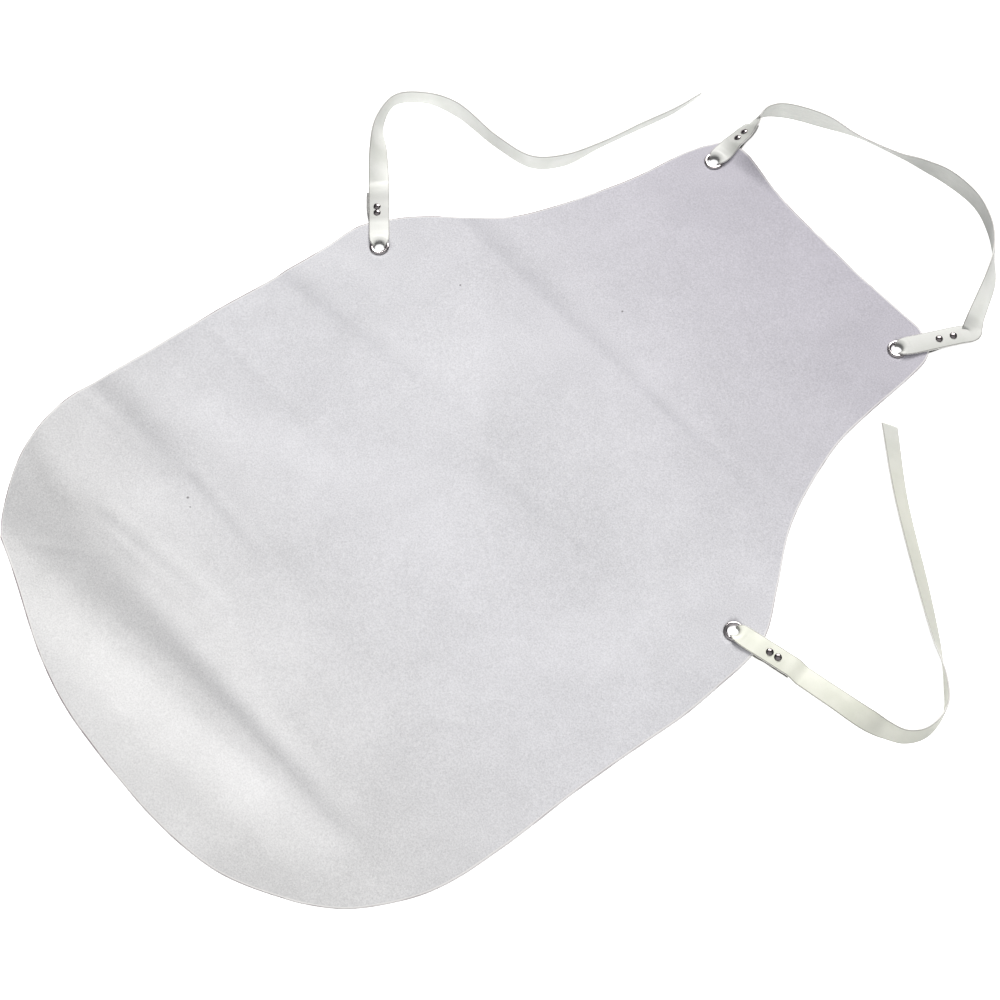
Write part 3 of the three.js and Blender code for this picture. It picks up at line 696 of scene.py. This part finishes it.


# Free stretches: plan place, bank, and painted light and shade along the strap; bank 0 lies flat, 90 stands
# on its right edge,
# -90 on its left
strapRuns = {
    "neckStrap": [
        (-157, 487, -60, 0.45), (-158, 504, -82, 0.8), (-148.5, 519.5, -98, 1.06), (-114, 543, -95, 1.05),
        (-74.5, 560, -60, 0.8), (-30, 577.5, -64, 0.58), (-5, 588.5, -85, 0.62), (23, 598, -100, 0.84),
        (62.5, 600, -95, 0.64), (95, 588, -92, 0.44), (119, 570, -82, 0.52), (139, 547, -55, 0.9),
        (153, 523, -44, 1.1), (163.5, 504, -35, 1.06), (169, 495.5, -20, 0.86),
    ],
    "leftWaistTie": [
        (-340, 131, 2, 0.9), (-371, 153, 32, 0.86), (-396, 173, 72, 0.86), (-410, 204, 96, 0.95),
        (-393, 231, 96, 1.12), (-361, 248, 82, 1.12), (-300, 256, 89, 0.82), (-258, 269, 90, 1.12),
        (-239, 297.5, 93, 1.1), (-231.5, 340, 110, 0.84), (-225, 387, 109, 0.88), (-219, 427, 110, 0.78),
        (-218, 461, 114, 0.9),
    ],
    "rightWaistTie": [
        (352, 109, 0, 1.1), (392, 119, 6, 1.02), (420, 125, 25, 1.02), (441, 131, 60, 1.06),
        (457, 140, 75, 0.85), (466, 158, 84, 0.7), (460, 187, 92, 0.78), (439, 206.5, 88, 0.8),
        (404, 227.5, 60, 0.58), (349, 259.5, 46, 0.68), (271, 304.5, 43, 0.76), (203.5, 351, 34, 0.8),
    ],
}


def buildStrap(name, grids):
    # a strap's solid about its middle surface, with rounded edges and ends
    grid = np.concatenate([grids[0][0]] + [part[0][1:] for part in grids[1:]])
    shade = np.concatenate([grids[0][1]] + [part[1][1:] for part in grids[1:]])
    along = np.gradient(grid, axis=0)
    side = unit(np.gradient(grid, axis=1))
    face = unit(np.cross(along, side))
    half, bend = strapCut["thick"] / 2, strapCut["round"]
    middle = grid.copy()
    middle[:, 0] += side[:, 0] * bend
    middle[:, -1] -= side[:, -1] * bend
    angles = [math.radians(angle) for angle in strapCut["rimAngles"]]
    arcs = [(angle, 1) for angle in angles] + [(-angle, -1) for angle in angles[::-1]]

    def rim(column, sign, steps):
        points, skins = [], []
        for angle, layer in steps:
            rise = layer * (half - bend) + bend * math.sin(angle)
            wide = sign * bend * math.cos(angle)
            points.append(middle[:, column] + side[:, column] * wide + face[:, column] * rise)
            skins.append(angle / (math.pi / 2))
        return points, skins

    leftRim, leftSkin = rim(-1, 1, arcs)
    rightRim, rightSkin = rim(0, -1, arcs[::-1])
    count = len(shares)
    front = [middle[:, j] + face[:, j] * half for j in range(count)]
    back = [middle[:, j] - face[:, j] * half for j in reversed(range(count))]
    rings = np.stack(front + leftRim + back + rightRim, 1)
    skin = np.array([1.0] * count + leftSkin + [-1.0] * count + rightSkin)
    edge = len(arcs)
    reach = np.r_[shares, np.ones(edge), shares[::-1], -np.ones(edge)] * strapCut["wide"] / 2
    # one more ring at each end, drawn in
    leftCore, rightCore = np.repeat(middle[:, -1:], edge, 1), np.repeat(middle[:, :1], edge, 1)
    core = np.concatenate([middle, leftCore, middle[:, ::-1], rightCore], 1)
    drawn = core + (rings - core) * strapCut["tip"]
    tips = [drawn[end] + unit(along[end].mean(0)) * sign * bend for end, sign in ((0, -1), (-1, 1))]
    points = np.concatenate([tips[0][None], rings, tips[1][None]])
    lines, count = points.shape[:2]
    number = np.arange(lines * count).reshape(lines, count)
    a, b = number[:-1], number[1:]
    quads = np.stack([a, b, np.roll(b, -1, 1), np.roll(a, -1, 1)], -1).reshape(-1, 4)
    faces = quads.tolist() + [number[0].tolist(), number[-1][::-1].tolist()]
    piece = makePiece(name, points.reshape(-1, 3), faces, strapFinish)
    centre = grid[:, grid.shape[1] // 2]
    run = np.r_[0, np.cumsum(np.linalg.norm(np.diff(centre, axis=0), axis=1))]
    layer = piece.data.uv_layers.new(name="strapRun")
    corner = np.empty(len(piece.data.loops), np.int32)
    piece.data.loops.foreach_get("vertex_index", corner)
    uv = np.c_[np.repeat(np.r_[0, run, run[-1]], count), np.tile(reach, lines)] * mm
    layer.data.foreach_set("uv", uv[corner].astype(np.float32).ravel())
    addNumber(piece, "skin", np.tile(skin, lines))
    # painted light and shade along the strap
    addNumber(piece, "shade", np.repeat(np.r_[shade[0], shade, shade[-1]], count))
    return piece, float(run[-1] * mm)


def loopGrids(loop):
    return [sweepGrid(tailRows(loop), 0.0), turnGrid(loop)]


def turnedGrids(grids):
    return [(grid[::-1, ::-1], shade[::-1]) for grid, shade in grids[::-1]]


leftLoop, rightLoop = loops["bib_left"], loops["bib_right"]
neckRows = frontRows(leftLoop) + freeRows(strapRuns["neckStrap"]) + turnRound(frontRows(rightLoop))
neckGrids = loopGrids(leftLoop) + [sweepGrid(neckRows, strapCut["cup"])] + turnedGrids(loopGrids(rightLoop))
made = {"neckStrap": buildStrap("neckStrap", neckGrids)}
for name, loopName in (("leftWaistTie", "waist_left"), ("rightWaistTie", "waist_right")):
    loop = loops[loopName]
    tieRows = frontRows(loop) + freeRows(strapRuns[name])
    made[name] = buildStrap(name, loopGrids(loop) + [sweepGrid(tieRows, strapCut["cup"])])
print("straps:", {name: round(length, 3) for name, (piece, length) in made.items()})


# Eyelets and rivets: one turned form of each, set on points by a node tree
def turnedForm(name, profile, sides, finish):
    # a closed profile of radius and height, turned round Z; radius 0 closes on the axis
    profile = np.array(profile, float)
    angles = np.linspace(0, 2 * math.pi, sides, endpoint=False)
    vertices, rings = [], []
    for radius, height in profile:
        if radius < tiny:
            rings.append([len(vertices)] * sides)
            vertices.append((0, 0, height))
        else:
            rings.append(list(range(len(vertices), len(vertices) + sides)))
            vertices += [(radius * math.cos(t), radius * math.sin(t), height) for t in angles]
    pairs = list(zip(rings, rings[1:]))
    if profile[0][0] > tiny:
        pairs.append((rings[-1], rings[0]))
    faces = []
    for low, high in pairs:
        for k in range(sides):
            n = (k + 1) % sides
            face = [low[k], low[n], high[n], high[k]]
            faces.append(list(dict.fromkeys(face)))
    piece = makePiece(name, vertices, faces, finish)
    piece.data.set_sharp_from_angle(angle=math.radians(sharpTurn))
    return piece


def eyeletProfile():
    e = eyelet
    middle, half = (e["hole"] + e["rim"]) / 2, (e["rim"] - e["hole"]) / 2
    points = []
    for angle in range(0, 181, e["rimStep"]):
        t = math.radians(angle)
        wide, tall = (abs(part) ** e["square"] for part in (math.cos(t), math.sin(t)))
        height = e["shoulder"] + (e["crest"] - e["shoulder"]) * tall
        points.append((middle + math.copysign(half * wide, math.cos(t)), height))
    return points + [(e[name] + more, height) for name, more, height in e["under"]]


def rivetProfile():
    r = rivet
    over = r["spread"] + strapCut["thick"] / 2 + r["seat"]
    under = -over - r["backThick"]
    points = [
        (0, under), (r["back"] - r["backInset"], under), (r["back"], -over - r["backLip"]),
        (r["back"], -over), (r["post"], -over), (r["post"], over),
        (r["head"] - r["headInset"], over), (r["head"], over + r["headLip"]),
    ]
    for angle in range(0, 91, r["domeStep"]):
        t = math.radians(angle)
        rise = r["domeFoot"] + (r["dome"] - r["domeFoot"]) * math.sin(t)
        points.append((r["head"] * r["domeShare"] * math.cos(t), over + rise))
    points[-1] = (0, over + r["dome"])
    return points


def settingTree():
    # sets a template on each point, turned to the point's axis and spun by a fixed seed
    tree = bpy.data.node_groups.new("setHardware", "GeometryNodeTree")
    face = tree.interface
    face.new_socket("Points", in_out="INPUT", socket_type="NodeSocketGeometry")
    kinds = {"Template": "Object", "Spin Seed": "Int", "Lean": "Float", "Finish": "Material"}
    for name, kind in kinds.items():
        face.new_socket(name, in_out="INPUT", socket_type="NodeSocket" + kind)
    face.new_socket("Set Pieces", in_out="OUTPUT", socket_type="NodeSocketGeometry")
    start = Wire(tree)
    given = tree.nodes.new("NodeGroupInput")
    inputs = {socket.name: Wire(tree, socket) for socket in given.outputs if socket.name}
    form = start.add("GeometryNodeObjectInfo", None, {"Object": inputs["Template"]}, "Geometry")
    axis = start.add("GeometryNodeInputNamedAttribute", {"data_type": "FLOAT_VECTOR"}, {"Name": "axis"})
    stand = start.add("FunctionNodeAlignRotationToVector", {"axis": "Z"}, {"Vector": axis})
    lean = inputs["Lean"]
    back = 0.0 - lean
    low = start.add("ShaderNodeCombineXYZ", None, {"X": back, "Y": back, "Z": 0.0})
    high = start.add("ShaderNodeCombineXYZ", None, {"X": lean, "Y": lean, "Z": 2 * math.pi})
    values = {0: low, 1: high, "Seed": inputs["Spin Seed"]}
    spin = start.add("FunctionNodeRandomValue", {"data_type": "FLOAT_VECTOR"}, values)
    values = {"Rotation": stand, "Rotate By": spin}
    turn = start.add("FunctionNodeRotateRotation", {"rotation_space": "LOCAL"}, values)
    values = {"Points": inputs["Points"], "Instance": form, "Rotation": turn}
    placed = start.add("GeometryNodeInstanceOnPoints", None, values)
    whole = start.add("GeometryNodeRealizeInstances", None, {"Geometry": placed})
    dressed = start.add("GeometryNodeSetMaterial", None, {"Geometry": whole, "Material": inputs["Finish"]})
    tree.links.new(dressed.socket, tree.nodes.new("NodeGroupOutput").inputs[0])
    return tree


def setHardware(name, template, places, axes, cut, tree):
    finish = template.data.materials[0]
    carrier = makePiece(name + "Points", places, [], finish)
    layer = carrier.data.attributes.new("axis", "FLOAT_VECTOR", "POINT")
    layer.data.foreach_set("vector", np.asarray(axes, np.float32).ravel())
    setting = carrier.modifiers.new("set", "NODES")
    setting.node_group = tree
    keys = {item.name: item.identifier for item in tree.interface.items_tree if item.in_out == "INPUT"}
    setting[keys["Template"]] = template
    setting[keys["Spin Seed"]] = cut["spinSeed"]
    setting[keys["Lean"]] = cut["lean"]
    setting[keys["Finish"]] = finish
    bpy.context.view_layer.update()
    whole = carrier.evaluated_get(bpy.context.evaluated_depsgraph_get())
    piece = bpy.data.objects.new(name, bpy.data.meshes.new_from_object(whole))
    piece.data.name = name
    bpy.context.scene.collection.objects.link(piece)
    carrier.modifiers.remove(setting)
    for spare in (carrier, template):
        bpy.data.objects.remove(spare)
    return piece


hardwareTree = settingTree()
eyeletForm = turnedForm("eyeletForm", eyeletProfile(), eyelet["sides"], eyeletFinish)
eyeletPlaces = [(loop["x"], loop["y"], eyeletHeight) for loop in loops.values()]
eyelets = setHardware("eyelets", eyeletForm, eyeletPlaces, [up] * len(loops), eyelet, hardwareTree)
rivetPlaces, rivetAxes, rivetNodes = [], [], []
for loopName, loop in loops.items():
    for which in ("inner", "outer"):
        row = next(row for row in layerRows if row[:2] == (which, 0))
        front, _, across, normal = layersAt(loop, row)
        rivetPlaces.append(front - normal * (row[2] - row[3]) / 2 + across * loop["aside"])
        rivetAxes.append(normal)
        rivetNodes.append("rivet_" + loopName + "_" + which)
rivetForm = turnedForm("rivetForm", rivetProfile(), rivet["sides"], rivetFinish)
rivets = setHardware("rivets", rivetForm, rivetPlaces, rivetAxes, rivet, hardwareTree)
print("hardware set:", len(eyeletPlaces), "eyelets and", len(rivetPlaces), "rivets")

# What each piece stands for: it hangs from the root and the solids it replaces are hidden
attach(apronPanel, "root")
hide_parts("apron_body")
strapNodes = {
    "neckStrap": "neck_strap",
    "leftWaistTie": "left_waist_tie",
    "rightWaistTie": "right_waist_tie",
}
for name, node in strapNodes.items():
    piece, length = made[name]
    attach(piece, "root")
    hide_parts(node)
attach(eyelets, "root")
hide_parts(*["eyelet_" + name for name in loops])
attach(rivets, "root")
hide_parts(*rivetNodes)

# Floor, light and camera
studio = {
    "floorSize": 12.0, "floorDrop": 0.3,  # side in metres, how far below the part in mm
    "floor": {
        "Base Color": tone(238, 238, 238), "Roughness": 0.9, "Emission Color": tone(255, 255, 255),
        "Emission Strength": 0.75,
    },
    "key": {
        "place": (-6.76, 7.70, 8.0), "aim": (0.0, 0.0, 0.0), "size": 6.0, "power": 1760,
        "tone": (1.0, 0.99, 0.97),
    },
    # sky: dark all round, bright about one direction, with the cosines between which it changes
    "skyBright": tone(250, 250, 252), "skyDark": tone(98, 97, 100), "skyStrength": 0.9,
    "skyToward": (0.3, -0.28, 0.912), "skyPatch": (0.55, 0.92),
    "azimuth": 52.265, "elevation": 61.64, "lens": 85, "sensor": 36, "clip": (0.05, 50),
    "cameraAt": (0.8890, -0.6610, 2.0042),
}


def pointAt(thing, direction):
    thing.rotation_mode = "QUATERNION"
    thing.rotation_quaternion = Vector(direction).to_track_quat("-Z", "Y")


def buildStudio():
    s = studio
    far = s["floorSize"] / mm / 2
    corners = [(x * far, y * far, -s["floorDrop"]) for x, y in ((-1, -1), (1, -1), (1, 1), (-1, 1))]
    floor = makePiece("floor", corners, [(0, 1, 2, 3)], newFinish("floorPaper", s["floor"])[0])
    lamp = bpy.data.lights.new("keyLight", "AREA")
    lamp.energy, lamp.size, lamp.color = s["key"]["power"], s["key"]["size"], s["key"]["tone"]
    key = bpy.data.objects.new("keyLight", lamp)
    key.location = s["key"]["place"]
    pointAt(key, Vector(s["key"]["aim"]) - Vector(s["key"]["place"]))
    bpy.context.scene.collection.objects.link(key)
    world = bpy.data.worlds.new("studioSky")
    world.use_nodes = True
    bpy.context.scene.world = world
    sky = Wire(world.node_tree)
    toward = sky.add("ShaderNodeTexCoord", None, None, "Generated")
    values = {0: toward, 1: s["skyToward"]}
    facing = sky.add("ShaderNodeVectorMath", {"operation": "DOT_PRODUCT"}, values, "Value")
    shade = facing.within(*s["skyPatch"]).mix(s["skyDark"], s["skyBright"])
    back = world.node_tree.nodes["Background"]
    back.inputs["Strength"].default_value = s["skyStrength"]
    world.node_tree.links.new(shade.socket, back.inputs["Color"])
    camera = bpy.data.objects.new("camera", bpy.data.cameras.new("camera"))
    camera.data.lens, camera.data.sensor_width = s["lens"], s["sensor"]
    camera.data.clip_start, camera.data.clip_end = s["clip"]
    camera.location = s["cameraAt"]
    a, e = math.radians(s["azimuth"]), math.radians(s["elevation"])
    pointAt(camera, (-math.sin(a) * math.cos(e), math.cos(a) * math.cos(e), -math.sin(e)))
    bpy.context.scene.collection.objects.link(camera)
    bpy.context.scene.camera = camera
    view = bpy.context.scene.view_settings
    view.view_transform, view.look, view.exposure, view.gamma = "Standard", "None", 0.0, 1.0


buildStudio()
print("studio ready")
